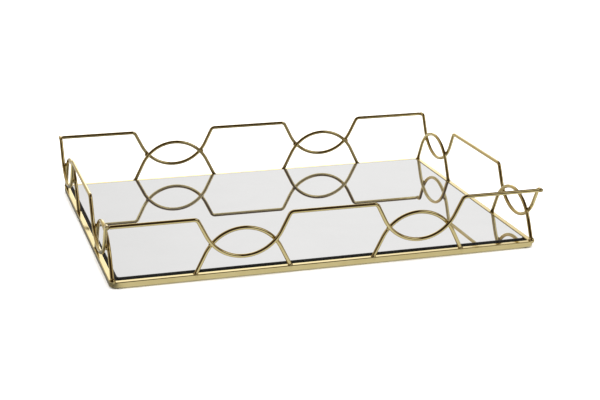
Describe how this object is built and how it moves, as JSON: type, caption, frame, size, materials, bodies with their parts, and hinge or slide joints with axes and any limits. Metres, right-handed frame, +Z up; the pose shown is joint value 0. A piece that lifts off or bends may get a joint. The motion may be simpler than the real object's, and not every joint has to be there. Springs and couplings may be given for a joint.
{
  "type": "vanity tray",
  "caption": "Rectangular mirrored dresser tray in a polished gold bar frame, with an open wire gallery of arches and dipped rails that cross.",
  "frame": {"origin": "on the surface that the tray stands on, under its centre", "axes": "+X along the long side to the right, +Y to the back, +Z up"},
  "size_m": [0.4, 0.288, 0.058],
  "materials": {
    "polished_gold": "polished gold-coloured plating",
    "ledge_steel": "plated, unpolished",
    "mirror": "silvered glass with seamed edges",
    "black_board": "matte black paint on fibreboard",
    "felt": "pressed felt"
  },
  "bodies": {
    "root": {"bar_front": "polished_gold", "bar_back": "polished_gold", "bar_left": "polished_gold", "bar_right": "polished_gold", "rail_front": "polished_gold", "rail_back": "polished_gold", "rail_left": "polished_gold", "rail_right": "polished_gold", "arch_front_left": "polished_gold", "arch_front_right": "polished_gold", "arch_back_left": "polished_gold", "arch_back_right": "polished_gold", "arch_left_front": "polished_gold", "arch_left_back": "polished_gold", "arch_right_front": "polished_gold", "arch_right_back": "polished_gold", "ledge_front": "ledge_steel", "ledge_back": "ledge_steel", "ledge_left": "ledge_steel", "ledge_right": "ledge_steel", "mirror_glass": "mirror", "backing_board": "black_board", "foot_pad_front_left": "felt", "foot_pad_front_right": "felt", "foot_pad_back_left": "felt", "foot_pad_back_right": "felt"}
  },
  "joints": []
}
